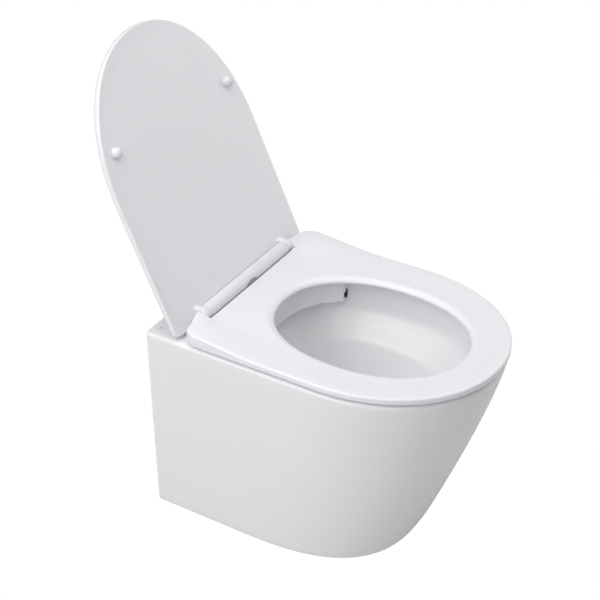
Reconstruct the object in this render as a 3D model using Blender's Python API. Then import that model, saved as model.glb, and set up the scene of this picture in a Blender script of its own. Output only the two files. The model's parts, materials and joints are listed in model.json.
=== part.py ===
"""Wall-hung rimless toilet pan with a soft-close ring seat and lid on a one-button hinge.

Metres. X runs across the pan, -Y points to the user and +Z is up. Y = 0 is the wall plane.
The origin is the midpoint between the two wall studs, on the pan's flat back.
"""

import math

import bmesh
import bpy
from mathutils import Matrix, Vector

# ---- driving dimensions -------------------------------------------------------------------

GAP = 0.0003                      # clearance between pieces that touch
SHARP_ANGLE = math.radians(32)    # an edge this sharp stays crisp

STUD_HEIGHT = 0.238               # wall studs above the pan's underside
STUD_SPACING = 0.180
WASTE_DROP = 0.100                # waste centre below the studs
INLET_RISE = 0.035                # flush inlet centre above the studs

PAN_HEIGHT = 0.3335
PAN_HALF_WIDTH = 0.180
PAN_FOOT_HALF_WIDTH = 0.1700
PAN_FRONT = -0.4965
PAN_FOOT_FRONT = -0.384
PAN_STRAIGHT = -0.289             # where the straight sides end, at the top
PAN_FOOT_STRAIGHT = -0.150
PAN_POWER = 2.06                  # roundness of the front at the top
PAN_FOOT_POWER = 2.75
PAN_BULGE = 1.18                  # above 1, the front bows outward between top and foot
WALL = 0.012                      # thickness of the fired clay
RIM_RADIUS = 0.007
FOOT_RADIUS = 0.010

RING_LIFT = 0.004                 # ring underside above the deck, on its bumpers
RING_THICKNESS = 0.0105
RING_REAR = -0.0640
RING_FRONT = -0.4975
RING_HALF_WIDTH = 0.180
RING_HOLE_CENTRE = -0.285
RING_HOLE_REAR = -0.116           # where the top starts to roll into the opening
RING_HOLE_FRONT = -0.448
RING_HOLE_HALF_WIDTH = 0.127
RING_LIP_REAR = -0.134            # the opening at the foot of that roll
RING_LIP_FRONT = -0.4390
RING_LIP_HALF_WIDTH = 0.1150

AXIS_Y = -0.0624                  # hinge axis
AXIS_RISE = 0.0185                # hinge axis above the deck
BARREL_RADIUS = 0.0117
BARREL_HALF = 0.1101
COLLAR_WIDTH = 0.0022
LUG_WIDTH = 0.0105
LUG_RADIUS = 0.0078
EAR_RADIUS = 0.0078
PIN_RADIUS = 0.003

LID_ANGLE = 115.3                 # opening from closed, degrees
LID_OFFSET = 0.0085               # lid underside from the hinge axis
LID_THICKNESS = 0.0125
LID_REAR = 0.0085                 # lid beyond the hinge axis
LID_LENGTH = 0.4230               # hinge axis to the lid's front
LID_HALF_WIDTH = 0.1775
LID_STRAIGHT = 0.2070
BUFFER_RADIUS = 0.0080
BUFFER_X = 0.1440
BUFFER_DISTANCE = 0.2775          # hinge axis to the lid buffers, along the lid

POST_X = 0.0775                   # half of the usual 155 mm between seat fixings
POST_SHANK = 0.0035
POST_HEAD = 0.0038
POST_NECK = 0.0024                # where the latch bars grip it
FOOT_POST_RADIUS = 0.0068         # the barrel's two feet
BUTTON_HALF = 0.0170
BUTTON_HEIGHT = 0.0085
LATCH_RADIUS = 0.0022
LATCH_START = 0.0215
DAMPER_RADIUS = 0.0062
DAMPER_START = 0.0865

# (depth below the deck, half width, rear, front) of the bowl's inside
BOWL_LEVELS = (
    (-0.004, 0.1500, -0.0930, -0.4715),
    (0.0000, 0.1480, -0.0950, -0.4695),
    (0.0030, 0.1450, -0.0980, -0.4665),
    (0.0080, 0.1440, -0.0990, -0.4655),
    (0.0520, 0.1400, -0.1035, -0.4610),
    (0.0590, 0.1320, -0.1120, -0.4520),
    (0.0660, 0.1230, -0.1210, -0.4400),
    (0.1050, 0.1070, -0.1360, -0.4080),
    (0.1500, 0.0850, -0.1500, -0.3600),
    (0.1850, 0.0620, -0.1620, -0.3150),
    (0.2150, 0.0330, -0.1780, -0.2640),
)
BOWL_CENTRE = -0.285
BOWL_POWER = 2.25                 # roundness of the bowl's front half
BOWL_REAR_POWER = 2.5
TRAP_BORE = 0.0265
TRAP_RADIUS = 0.037               # outside of the trap and of the flush inlet
SPIGOT_RADIUS = 0.051             # the flat collar round the waste
INLET_BORE = 0.0275
DISTRIBUTOR_FACE = -0.180         # both ends of the flush distributor under the rear rim
DISTRIBUTOR_HALF = 0.134          # half width of the oval that its front face follows
DISTRIBUTOR_REAR = -0.127
DISTRIBUTOR_DROP = 0.0455         # its lower lip below the deck
JET_DROP = 0.033                  # its channel and end jets below the deck
JET_HALF_WIDTH = 0.0045
JET_HALF_HEIGHT = 0.0070
SLOT_ANGLES = (58, 69, 81, 99, 111, 122)

CAP_X = 0.158                     # access holes to the concealed clamps
CAP_Y = -0.0165
CAP_HOLE = 0.0052
BRACKET_THICKNESS = 0.004
BRACKET_FACE = -0.0005
CLAMP_HEAD_RADIUS = 0.0045
CLAMP_SHANK = 0.0030
STUD_RADIUS = 0.0060

# ---- derived places -----------------------------------------------------------------------

PAN_BOTTOM = -STUD_HEIGHT
DECK = PAN_BOTTOM + PAN_HEIGHT
AXIS_Z = DECK + AXIS_RISE
RING_BOTTOM = DECK + RING_LIFT
RING_TOP = RING_BOTTOM + RING_THICKNESS
COLLAR_START = BARREL_HALF + GAP
LUG_START = COLLAR_START + COLLAR_WIDTH + GAP
EAR_START = LUG_START + LUG_WIDTH + GAP
EAR_END = EAR_START + 0.020
NOTCH_FRONT = AXIS_Y - BARREL_RADIUS - 0.0012
NOTCH_REAR = -0.03
PIN_START = BARREL_HALF - 0.004
PIN_END = EAR_END - 0.004
DAMPER_END = PIN_START - GAP
BUTTON_FLOOR = AXIS_Z - 0.0050
BUTTON_FACE = AXIS_Y - BARREL_RADIUS - 0.0002
BUTTON_BACK = AXIS_Y - 0.0045
POCKET_BACK = AXIS_Y + 0.0015
STUD_X = STUD_SPACING / 2
SIDES = (("left", -1), ("right", 1))


# ---- materials ----------------------------------------------------------------------------

def material(name, colour, roughness, metallic=0.0):
    """A Principled BSDF material."""
    made = bpy.data.materials.new(name)
    made.use_nodes = True
    shader = made.node_tree.nodes["Principled BSDF"]
    shader.inputs["Base Color"].default_value = (*colour, 1.0)
    shader.inputs["Roughness"].default_value = roughness
    shader.inputs["Metallic"].default_value = metallic
    return made


def make_materials():
    """Every finish, by slot name."""
    return {
        "ceramic": material("ceramic", (0.86, 0.86, 0.87), 0.08),
        "seat_plastic": material("seat_plastic", (0.87, 0.87, 0.89), 0.22),
        "hinge_plastic": material("hinge_plastic", (0.80, 0.80, 0.84), 0.30),
        "button_plastic": material("button_plastic", (0.62, 0.62, 0.68), 0.25),
        "bumper_rubber": material("bumper_rubber", (0.82, 0.82, 0.84), 0.60),
        "sleeve_rubber": material("sleeve_rubber", (0.05, 0.05, 0.055), 0.75),
        "steel": material("steel", (0.62, 0.62, 0.63), 0.28, 1.0),
        "zinc": material("zinc", (0.55, 0.56, 0.58), 0.42, 1.0),
        "damper_plastic": material("damper_plastic", (0.10, 0.10, 0.11), 0.40),
    }


# ---- mesh tools ---------------------------------------------------------------------------

def add_object(name, mesh, finish=None):
    """Link a mesh as an object, shaded smooth except at its real edges."""
    mesh.shade_smooth()
    mesh.set_sharp_from_angle(angle=SHARP_ANGLE)
    made = bpy.data.objects.new(name, mesh)
    bpy.context.scene.collection.objects.link(made)
    if finish is not None:
        mesh.materials.append(finish)
    return made


def mesh_from(name, points, faces):
    """A mesh with its faces turned outward."""
    mesh = bpy.data.meshes.new(name)
    mesh.from_pydata([tuple(p) for p in points], [], faces)
    shape = bmesh.new()
    shape.from_mesh(mesh)
    bmesh.ops.recalc_face_normals(shape, faces=shape.faces)
    shape.to_mesh(mesh)
    shape.free()
    return mesh


def loft(name, rings, closed=False):
    """Skin a list of equal-length outlines.

    A closed loft joins the last outline to the first; an open one is capped at both ends.
    """
    count = len(rings[0])
    points = [p for ring in rings for p in ring]
    faces = []
    pairs = len(rings) if closed else len(rings) - 1
    for k in range(pairs):
        low, high = k * count, (k + 1) % len(rings) * count
        for i in range(count):
            j = (i + 1) % count
            faces.append((low + i, low + j, high + j, high + i))
    if not closed:
        faces.append(tuple(reversed(range(count))))
        faces.append(tuple((len(rings) - 1) * count + i for i in range(count)))
    return mesh_from(name, points, faces)


def box(name, low, high):
    """An upright block between two corners."""
    (x0, y0, z0), (x1, y1, z1) = low, high
    base = [(x0, y0), (x1, y0), (x1, y1), (x0, y1)]
    return loft(name, [[(x, y, z) for x, y in base] for z in (z0, z1)])


def frame_towards(axis):
    """A rotation that carries +Z onto the given direction."""
    return Vector((0, 0, 1)).rotation_difference(Vector(axis).normalized()).to_matrix().to_4x4()


def turned(name, profile, centre, axis=(0, 0, 1), sides=24, closed=False):
    """A solid of revolution from (radius, distance) pairs along the axis."""
    place = Matrix.Translation(Vector(centre)) @ frame_towards(axis)
    turn = [2 * math.pi * i / sides for i in range(sides)]
    rings = [[place @ Vector((r * math.cos(a), r * math.sin(a), h)) for a in turn] for r, h in profile]
    return loft(name, rings, closed)


def tube(name, profile, centre, axis=(0, 0, 1), sides=24):
    """A turned ring whose closed profile of (radius, distance) pairs stays off the axis."""
    return turned(name, profile, centre, axis, sides, closed=True)


def hex_nut(name, bore, flat, height, centre, axis=(0, 0, 1), sides=24):
    """A nut with a round bore and six flats; flat is half its width across them."""
    place = Matrix.Translation(Vector(centre)) @ frame_towards(axis)
    rings = []
    for outside, h in ((False, 0.0), (True, 0.0), (True, height), (False, height)):
        ring = []
        for i in range(sides):
            a = 2 * math.pi * i / sides
            r = flat / math.cos(a % (math.pi / 3) - math.pi / 6) if outside else bore
            ring.append(place @ Vector((r * math.cos(a), r * math.sin(a), h)))
        rings.append(ring)
    return loft(name, rings, closed=True)


def rod(name, radius, start, end, sides=24):
    """A plain cylinder between two points."""
    span = Vector(end) - Vector(start)
    return turned(name, [(radius, 0.0), (radius, span.length)], start, span, sides)


def combine(target, meshes, operation):
    """Apply one Boolean after another to an object, using EXACT."""
    for mesh in meshes:
        cutter = bpy.data.objects.new(mesh.name + "_cutter", mesh)
        bpy.context.scene.collection.objects.link(cutter)
        modifier = target.modifiers.new(operation.lower(), "BOOLEAN")
        modifier.operation = operation
        modifier.solver = "EXACT"
        modifier.object = cutter
        depsgraph = bpy.context.evaluated_depsgraph_get()
        result = bpy.data.meshes.new_from_object(target.evaluated_get(depsgraph))
        target.modifiers.clear()
        target.data = result
        bpy.data.objects.remove(cutter)


def finish_mesh(target, finish):
    """Weld what a Boolean split, shade it and leave one material on it."""
    shape = bmesh.new()
    shape.from_mesh(target.data)
    bmesh.ops.remove_doubles(shape, verts=shape.verts, dist=0.00001)
    bmesh.ops.dissolve_degenerate(shape, edges=shape.edges, dist=0.00001)
    shape.to_mesh(target.data)
    shape.free()
    target.data.materials.clear()
    target.data.materials.append(finish)
    target.data.shade_smooth()
    target.data.set_sharp_from_angle(angle=SHARP_ANGLE)


def put_origin(target, point):
    """Move an object's origin to a point and leave its shape where it is."""
    target.data.transform(Matrix.Translation(-Vector(point)))
    target.location = point


def hang_on(parent, child):
    """Parent a piece and keep it where it stands."""
    child.parent = parent
    child.matrix_parent_inverse = Matrix.Translation(-parent.location)


# ---- outlines -----------------------------------------------------------------------------

def d_outline(half_width, rear, straight, front, power=2.0, corner=0.0,
              arc=14, side=3, bend=1, back=1):
    """A D seen from above: a rear edge, two straight sides and half a superellipse in front.

    The points run anticlockwise from the right rear corner. Their number is fixed by the
    arc, side, bend and back counts, so that the outlines of one loft match.
    """
    right_bend = []
    for k in range(bend + 1):
        a = math.pi / 2 * k / bend
        right_bend.append((half_width - corner * (1 - math.cos(a)), rear - corner * (1 - math.sin(a))))
    left_bend = [(-x, y) for x, y in reversed(right_bend)]
    start, end = right_bend[-1][0], left_bend[0][0]
    rear_edge = [(start + (end - start) * k / back, rear) for k in range(1, back)]
    low = rear - corner
    left = [(-half_width, low + (straight - low) * k / side) for k in range(1, side)]
    right = [(-x, y) for x, y in reversed(left)]
    front_arc = []
    for k in range(2 * arc + 1):
        a = math.pi * k / (2 * arc)
        x = -half_width * math.copysign(abs(math.cos(a)) ** (2 / power), math.cos(a))
        y = straight + (front - straight) * abs(math.sin(a)) ** (2 / power)
        front_arc.append((x, y))
    return right_bend + rear_edge + left_bend + left + front_arc + right


def oval_radius(angle, half_width, back, ahead, power):
    """Distance from the centre to a superellipse in one direction, with unequal back and front."""
    c, s = math.cos(angle), math.sin(angle)
    reach = back if s > 0 else ahead
    return (abs(c / half_width) ** power + abs(s / reach) ** power) ** (-1 / power)


def oval(half_width, rear, centre, front, power, rear_power, count=48):
    """An oval seen from above, anticlockwise, with its own roundness behind the centre."""
    points = []
    for k in range(count):
        a = 2 * math.pi * k / count
        shape = rear_power if math.sin(a) > 0 else power
        r = oval_radius(a, half_width, rear - centre, centre - front, shape)
        points.append((r * math.cos(a), centre + r * math.sin(a)))
    return points


def at_height(points, z):
    """Lift a plan outline to a height."""
    return [(x, y, z) for x, y in points]


def round_over(radius, steps=4):
    """(inset, drop) pairs round a quarter-circle edge, from the side up to the top."""
    turn = [math.pi / 2 * k / steps for k in range(steps + 1)]
    return [(radius * (1 - math.cos(a)), radius * (1 - math.sin(a))) for a in turn]


# ---- pan ----------------------------------------------------------------------------------

def pan_plan(height, inset=0.0, rear=0.0):
    """The pan's outline at a height above its foot."""
    t = height / PAN_HEIGHT
    lean = 1 - (1 - min(max(t, 0.0), 1.0)) ** PAN_BULGE
    half = PAN_FOOT_HALF_WIDTH + (PAN_HALF_WIDTH - PAN_FOOT_HALF_WIDTH) * t
    straight = PAN_FOOT_STRAIGHT + (PAN_STRAIGHT - PAN_FOOT_STRAIGHT) * t
    front = PAN_FOOT_FRONT + (PAN_FRONT - PAN_FOOT_FRONT) * lean
    power = PAN_FOOT_POWER + (PAN_POWER - PAN_FOOT_POWER) * t
    return d_outline(half - inset, rear, straight, front + inset, power)


def pan_shell():
    """The outer skin as a solid, with a rounded foot and rim."""
    rings = []
    for inset, drop in reversed(round_over(FOOT_RADIUS, 3)):
        rings.append(at_height(pan_plan(drop, inset), PAN_BOTTOM + drop))
    for k in range(1, 6):
        height = FOOT_RADIUS + (PAN_HEIGHT - RIM_RADIUS - FOOT_RADIUS) * k / 6
        rings.append(at_height(pan_plan(height), PAN_BOTTOM + height))
    for inset, drop in round_over(RIM_RADIUS, 3):
        height = PAN_HEIGHT - drop
        rings.append(at_height(pan_plan(height, inset), PAN_BOTTOM + height))
    return loft("shell", rings)


def pan_hollow():
    """The space inside the skin, open at the wall."""
    rings = []
    for k in range(5):
        height = WALL + (PAN_HEIGHT - 2 * WALL) * k / 4
        rings.append(at_height(pan_plan(height, WALL, rear=0.01), PAN_BOTTOM + height))
    return loft("hollow", rings)


def bowl_loft(name, grow, top, bottom_extra):
    """The bowl's levels as a solid, grown outward; top is the height of its upper face."""
    rings = []
    for depth, half, rear, front in BOWL_LEVELS:
        z = min(DECK - depth, top)
        if rings and z >= rings[-1][0][2]:
            rings.pop()
        centre = max(BOWL_CENTRE, (rear + front) / 2)
        plan = oval(half + grow, rear + grow, centre, front - grow, BOWL_POWER, BOWL_REAR_POWER)
        rings.append(at_height(plan, z))
    lowest = [(x, y, z - bottom_extra) for x, y, z in rings[-1]]
    if bottom_extra > 0:
        middle = Vector((0.0, (BOWL_LEVELS[-1][2] + BOWL_LEVELS[-1][3]) / 2))
        rings.append([(x * 0.8, middle.y + (y - middle.y) * 0.8, z) for x, y, z in lowest])
    return loft(name, rings)


def waterway(name, radius, end, steps=18, sides=16):
    """The trap: a bent tube from the bowl's sump, under and over the water seal, to the wall."""
    route = (
        Vector((0, -0.222, DECK - 0.200)),
        Vector((0, -0.206, DECK - 0.258)),
        Vector((0, -0.150, DECK - 0.276)),
        Vector((0, -0.112, DECK - 0.216)),
        Vector((0, -0.080, DECK - 0.1880)),
        Vector((0, -0.030, -WASTE_DROP)),
        Vector((0, end, -WASTE_DROP)),
    )
    spans = len(route) - 1
    centres = [catmull(route, spans * k / steps) for k in range(steps + 1)]
    rings = []
    for k, centre in enumerate(centres):
        ahead = centres[min(k + 1, steps)] - centres[max(k - 1, 0)]
        across = Vector((1, 0, 0))
        up = ahead.normalized().cross(across)
        turn = [2 * math.pi * i / sides for i in range(sides)]
        rings.append([centre + radius * (math.cos(a) * across + math.sin(a) * up) for a in turn])
    return loft(name, rings)


def catmull(route, place):
    """A point on the smooth curve through the route; place counts spans."""
    k = min(int(place), len(route) - 2)
    t = place - k
    a, b = route[max(k - 1, 0)], route[k]
    c, d = route[k + 1], route[min(k + 2, len(route) - 1)]
    return 0.5 * (2 * b + (c - a) * t + (2 * a - 5 * b + 4 * c - d) * t * t
                  + (3 * b - a - 3 * c + d) * t ** 3)


def distributor_plan():
    """The distributor's front face, seen from above."""
    return oval(DISTRIBUTOR_HALF, DISTRIBUTOR_REAR, BOWL_CENTRE, -0.46, 2.3, 2.3, 96)


def distributor_block():
    """What stays standing in the bowl: a curved box under the rear of the rim."""
    block = add_object("distributor", box(
        "distributor", (-0.16, DISTRIBUTOR_FACE, DECK - DISTRIBUTOR_DROP), (0.16, -0.09, DECK + 0.01)))
    core = loft("core", [at_height(distributor_plan(), z) for z in (DECK - 0.1, DECK + 0.02)])
    combine(block, [core], "DIFFERENCE")
    mesh = block.data
    bpy.data.objects.remove(block)
    return mesh


def distributor_point(angle):
    """A point in the middle of the distributor, between its front face and the bowl wall."""
    _, half, rear, _ = BOWL_LEVELS[3]
    front = oval_radius(angle, DISTRIBUTOR_HALF, DISTRIBUTOR_REAR - BOWL_CENTRE, 1.0, 2.3)
    behind = oval_radius(angle, half, rear - BOWL_CENTRE, 1.0, BOWL_REAR_POWER)
    middle = (front + behind) / 2
    return Vector((middle * math.cos(angle), BOWL_CENTRE + middle * math.sin(angle), DECK - JET_DROP))


def jet_channel(steps=16, sides=10):
    """The distributor's water channel, which opens as a jet at each end."""
    start = math.radians(38)
    angles = [start + (math.pi - 2 * start) * k / steps for k in range(steps + 1)]
    centres = [distributor_point(a) for a in angles]
    up = Vector((0, 0, 1))
    rings = []
    for k, centre in enumerate(centres):
        ahead = (centres[min(k + 1, steps)] - centres[max(k - 1, 0)]).normalized()
        across = up.cross(ahead)
        turn = [2 * math.pi * i / sides for i in range(sides)]
        rings.append([centre + JET_HALF_WIDTH * math.cos(a) * across + JET_HALF_HEIGHT * math.sin(a) * up
                      for a in turn])
    return loft("channel", rings)


def lip_slots():
    """Cutters for the rinse slots in the distributor's lower lip."""
    cutters = []
    for degrees in SLOT_ANGLES:
        angle = math.radians(degrees)
        ahead = distributor_point(angle + 0.01) - distributor_point(angle - 0.01)
        slot = box("slot", (-0.004, -0.0016, -0.02), (0.004, 0.0016, 0.0))
        turn = Matrix.Rotation(math.atan2(ahead.y, ahead.x), 4, "Z")
        slot.transform(Matrix.Translation(distributor_point(angle)) @ turn)
        cutters.append(slot)
    return cutters


def make_pan(finish):
    """The fired clay body: skin, bowl, trap, flush inlet, distributor and fixing holes."""
    pan = add_object("pan", pan_shell())
    combine(pan, [pan_hollow()], "DIFFERENCE")
    bridge = box("bridge", (-0.045, -0.016, -WASTE_DROP), (0.045, 0, INLET_RISE))
    spigot = rod("spigot", SPIGOT_RADIUS, (0, -0.070, -WASTE_DROP), (0, 0, -WASTE_DROP), 28)
    inlet = rod("inlet", TRAP_RADIUS, (0, -0.090, INLET_RISE), (0, 0, INLET_RISE), 28)
    bowl_outside = bowl_loft("bowl_outside", WALL, DECK - 0.004, WALL)
    trap_outside = waterway("trap_outside", TRAP_RADIUS, -0.010)
    combine(pan, [bowl_outside, trap_outside, spigot, bridge, inlet], "UNION")

    bowl = add_object("bowl", bowl_loft("bowl_inside", 0.0, DECK + 0.01, 0.0))
    combine(bowl, [distributor_block()], "DIFFERENCE")
    bowl_mesh = bowl.data
    bpy.data.objects.remove(bowl)

    socket = rod("socket", INLET_BORE, (0, -0.055, INLET_RISE), (0, 0.02, INLET_RISE), 28)
    duct = rod("duct", 0.010, (0, -0.120, DECK - JET_DROP), (0, -0.040, INLET_RISE + 0.008), 12)
    cuts = [bowl_mesh, waterway("trap_inside", TRAP_BORE, 0.012), jet_channel(), socket, duct]
    cuts += lip_slots()
    for _, sign in SIDES:
        cuts.append(rod("post_hole", 0.0070, (sign * POST_X, AXIS_Y, DECK - 0.05),
                        (sign * POST_X, AXIS_Y, DECK + 0.01), 16))
        cuts.append(rod("cap_hole", CAP_HOLE, (sign * CAP_X, CAP_Y, DECK - 0.05),
                        (sign * CAP_X, CAP_Y, DECK + 0.01), 16))
    combine(pan, cuts, "DIFFERENCE")
    finish_mesh(pan, finish)


# ---- seat ring ----------------------------------------------------------------------------

def ring_outer(inset):
    """The seat ring's outer outline, inset."""
    return d_outline(RING_HALF_WIDTH - inset, RING_REAR - inset, PAN_STRAIGHT, RING_FRONT + inset,
                     PAN_POWER, corner=0.026 - min(inset, 0.004), arc=18, side=4, bend=4, back=10)


def ring_inner(outer, roll):
    """The seat opening, one point in the direction of each outer point.

    The roll runs from 0, where the flat top ends, to 1, at the lip.
    """
    half = RING_HOLE_HALF_WIDTH + (RING_LIP_HALF_WIDTH - RING_HOLE_HALF_WIDTH) * roll
    rear = RING_HOLE_REAR + (RING_LIP_REAR - RING_HOLE_REAR) * roll
    front = RING_HOLE_FRONT + (RING_LIP_FRONT - RING_HOLE_FRONT) * roll
    points = []
    for x, y in outer:
        a = math.atan2(y - RING_HOLE_CENTRE, x)
        r = oval_radius(a, half, rear - RING_HOLE_CENTRE, RING_HOLE_CENTRE - front, 2.15)
        points.append((r * math.cos(a), RING_HOLE_CENTRE + r * math.sin(a)))
    return points


def ring_plate():
    """The flat ring with a crisp outer round and a soft roll into the opening."""
    middle = RING_BOTTOM + 0.0035
    rings = []
    for inset, drop in reversed(round_over(0.003, 2)):
        rings.append(at_height(ring_outer(inset), RING_BOTTOM + drop))
    for inset, drop in round_over(0.004, 3):
        rings.append(at_height(ring_outer(inset), RING_TOP - drop))
    base = ring_outer(0.004)
    for k in range(5):
        a = math.pi / 2 * k / 4
        z = middle + (RING_TOP - middle) * math.cos(a)
        rings.append(at_height(ring_inner(base, math.sin(a)), z))
    rings.append(at_height(ring_inner(base, 0.9), RING_BOTTOM + 0.001))
    rings.append(at_height(ring_inner(base, 0.7), RING_BOTTOM))
    return loft("ring_plate", rings, closed=True)


def ear_profile(shrink):
    """Side view of a hinge ear as (y, z): round at the axis, with a ramp down to the ring."""
    radius = EAR_RADIUS - shrink
    points = []
    for k in range(13):
        a = math.radians(-90 + 190 * k / 12)
        points.append((AXIS_Y + radius * math.cos(a), AXIS_Z + radius * math.sin(a)))
    points.append((AXIS_Y - 0.014, AXIS_Z + 0.0045 - shrink))
    points.append((AXIS_Y - 0.024, RING_TOP + 0.0008 - shrink))
    points.append((AXIS_Y - 0.034, RING_TOP - 0.002))
    points.append((AXIS_Y - 0.034, RING_BOTTOM + 0.004))
    return points


def make_seat_ring(finish):
    """The ring, notched for the hinge barrel, with an ear at each end of the notch."""
    ring = add_object("seat_ring", ring_plate())
    notch = box("notch", (-EAR_START, NOTCH_FRONT, RING_BOTTOM - 0.01),
                (EAR_START, NOTCH_REAR, RING_TOP + 0.02))
    combine(ring, [notch], "DIFFERENCE")
    ears, bores = [], []
    for _, sign in SIDES:
        flare = ((EAR_START, 0.0), (EAR_END - 0.004, 0.0), (EAR_END - 0.001, 0.0012), (EAR_END, 0.003))
        rings = [[(sign * x, y, z) for y, z in ear_profile(shrink)] for x, shrink in flare]
        ears.append(loft("ear", rings))
        bores.append(rod("ear_bore", PIN_RADIUS + GAP, (sign * (EAR_START - 0.01), AXIS_Y, AXIS_Z),
                         (sign * (PIN_END + GAP), AXIS_Y, AXIS_Z), 16))
    combine(ring, ears, "UNION")
    combine(ring, bores, "DIFFERENCE")
    finish_mesh(ring, finish)
    put_origin(ring, (0, AXIS_Y, AXIS_Z))
    return ring


def make_ring_bumpers(finish, ring):
    """Four soft pads between the ring and the rim."""
    low, high = DECK + GAP, RING_BOTTOM - GAP
    for end, x, y, angle in (("rear", 0.1620, -0.150, 0), ("front", 0.1190, -0.424, 48)):
        for side, sign in SIDES:
            place = Matrix.Translation((sign * x, y, low)) @ Matrix.Rotation(
                math.radians(sign * angle), 4, "Z")
            plan = d_outline(0.0055, 0.012, -0.006, -0.012, corner=0.0054, arc=4, side=1, bend=3)
            levels = ((0.0, -0.0008), (0.0008, 0.0), (high - low, 0.0))
            rings = []
            for z, grow in levels:
                scale = 1 + grow / 0.0055
                rings.append([place @ Vector((px * scale, py * scale, z)) for px, py in plan])
            pad = add_object("ring_bumper_%s_%s" % (end, side), loft("bumper", rings), finish)
            hang_on(ring, pad)


# ---- lid ----------------------------------------------------------------------------------

def lid_place():
    """Carries lid coordinates to the open lid.

    In them the hinge axis is X, -Y runs along the lid to its front and +Z is out of its top.
    """
    turn = Matrix.Rotation(-math.radians(LID_ANGLE), 4, "X")
    return Matrix.Translation((0, AXIS_Y, AXIS_Z)) @ turn


def lid_plan(inset):
    """The lid's outline in its own coordinates."""
    return d_outline(LID_HALF_WIDTH - inset, LID_REAR - inset, -LID_STRAIGHT, -LID_LENGTH + inset,
                     PAN_POWER, corner=0.014 - min(inset, 0.005), arc=18, side=2, bend=3)


def make_lid(finish):
    """The lid plate with its two hinge lugs and a hollow that clears the barrel."""
    low, high = LID_OFFSET, LID_OFFSET + LID_THICKNESS
    rings = [at_height(lid_plan(inset), low + drop) for inset, drop in reversed(round_over(0.002, 2))]
    rings += [at_height(lid_plan(inset), high - drop) for inset, drop in round_over(0.005, 4)]
    lid = add_object("lid", loft("lid_plate", rings))
    half = LUG_START - GAP / 2
    hollow = rod("hollow", BARREL_RADIUS + 0.0013, (-half, 0, 0), (half, 0, 0), 48)
    relief = box("relief", (-half, 0.0, 0.0), (half, LID_REAR + 0.01, LID_OFFSET + 0.0045))
    combine(lid, [hollow, relief], "DIFFERENCE")
    lugs, bores = [], []
    for _, sign in SIDES:
        profile = [(LUG_RADIUS * math.cos(a), LUG_RADIUS * math.sin(a))
                   for a in (math.radians(180 + 180 * k / 12) for k in range(13))]
        profile += [(LUG_RADIUS, LID_OFFSET + 0.003), (-LUG_RADIUS, LID_OFFSET + 0.003)]
        lugs.append(loft("lug", [[(sign * x, y, z) for y, z in profile]
                                 for x in (LUG_START, LUG_START + LUG_WIDTH)]))
        bores.append(rod("lug_bore", PIN_RADIUS + GAP, (sign * (LUG_START - 0.002), 0, 0),
                         (sign * (LUG_START + LUG_WIDTH + 0.002), 0, 0), 16))
    combine(lid, lugs, "UNION")
    combine(lid, bores, "DIFFERENCE")
    finish_mesh(lid, finish)
    lid.matrix_world = lid_place()
    return lid


def make_lid_buffers(finish, lid):
    """Two domed buffers on the lid's underside."""
    height = LID_OFFSET + AXIS_Z - RING_TOP - 2 * GAP
    base = height - BUFFER_RADIUS
    profile = [(BUFFER_RADIUS, 0.0), (BUFFER_RADIUS, base)]
    for k in range(1, 5):
        a = math.radians(20 * k)
        profile.append((BUFFER_RADIUS * math.cos(a), base + BUFFER_RADIUS * math.sin(a)))
    for side, sign in SIDES:
        centre = (sign * BUFFER_X, -BUFFER_DISTANCE, LID_OFFSET - GAP)
        dome = add_object("lid_buffer_" + side, turned("dome", profile, centre, (0, 0, -1), 18), finish)
        dome.parent = lid


# ---- hinge --------------------------------------------------------------------------------

def half_moon(half, floor, height, steps=12):
    """A half-moon in (x, z), flat side down at the floor height."""
    arc = [math.pi * k / steps for k in range(steps + 1)]
    return [(half * math.cos(a), floor + height * math.sin(a)) for a in arc]


def prism(name, outline, y0, y1):
    """Extrude an (x, z) outline along Y."""
    return loft(name, [[(x, y, z) for x, z in outline] for y in (y0, y1)])


def make_barrel(finish):
    """The hinge barrel on its two feet, hollow for dampers, latches and the button."""
    edge = [(BARREL_RADIUS - inset, drop) for inset, drop in reversed(round_over(0.001, 2))]
    span = 2 * BARREL_HALF
    profile = edge + [(r, span - h) for r, h in reversed(edge)]
    body = turned("barrel", profile, (-BARREL_HALF, AXIS_Y, AXIS_Z), (1, 0, 0), 28)
    barrel = add_object("hinge_barrel", body)
    feet = []
    for _, s in SIDES:
        feet.append(rod("foot", FOOT_POST_RADIUS, (s * POST_X, AXIS_Y, DECK + 0.0038),
                        (s * POST_X, AXIS_Y, AXIS_Z), 18))
    combine(barrel, feet, "UNION")
    opening = half_moon(BUTTON_HALF + 0.0014, BUTTON_FLOOR - 0.0004, BUTTON_HEIGHT + 0.0009)
    pocket = prism("pocket", opening, AXIS_Y - 0.02, POCKET_BACK)
    latch_way = rod("latch_way", LATCH_RADIUS + 2 * GAP, (-POST_X, AXIS_Y, AXIS_Z),
                    (POST_X, AXIS_Y, AXIS_Z), 12)
    cuts = [pocket, latch_way]
    for _, s in SIDES:
        cuts.append(rod("damper_bore", DAMPER_RADIUS + 2 * GAP, (s * DAMPER_START, AXIS_Y, AXIS_Z),
                        (s * (BARREL_HALF + 0.01), AXIS_Y, AXIS_Z), 20))
        cuts.append(rod("post_bore", POST_HEAD + 0.0005, (s * POST_X, AXIS_Y, DECK - 0.01),
                        (s * POST_X, AXIS_Y, AXIS_Z + 0.0068), 16))
    combine(barrel, cuts, "DIFFERENCE")
    finish_mesh(barrel, finish)
    return barrel


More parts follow.
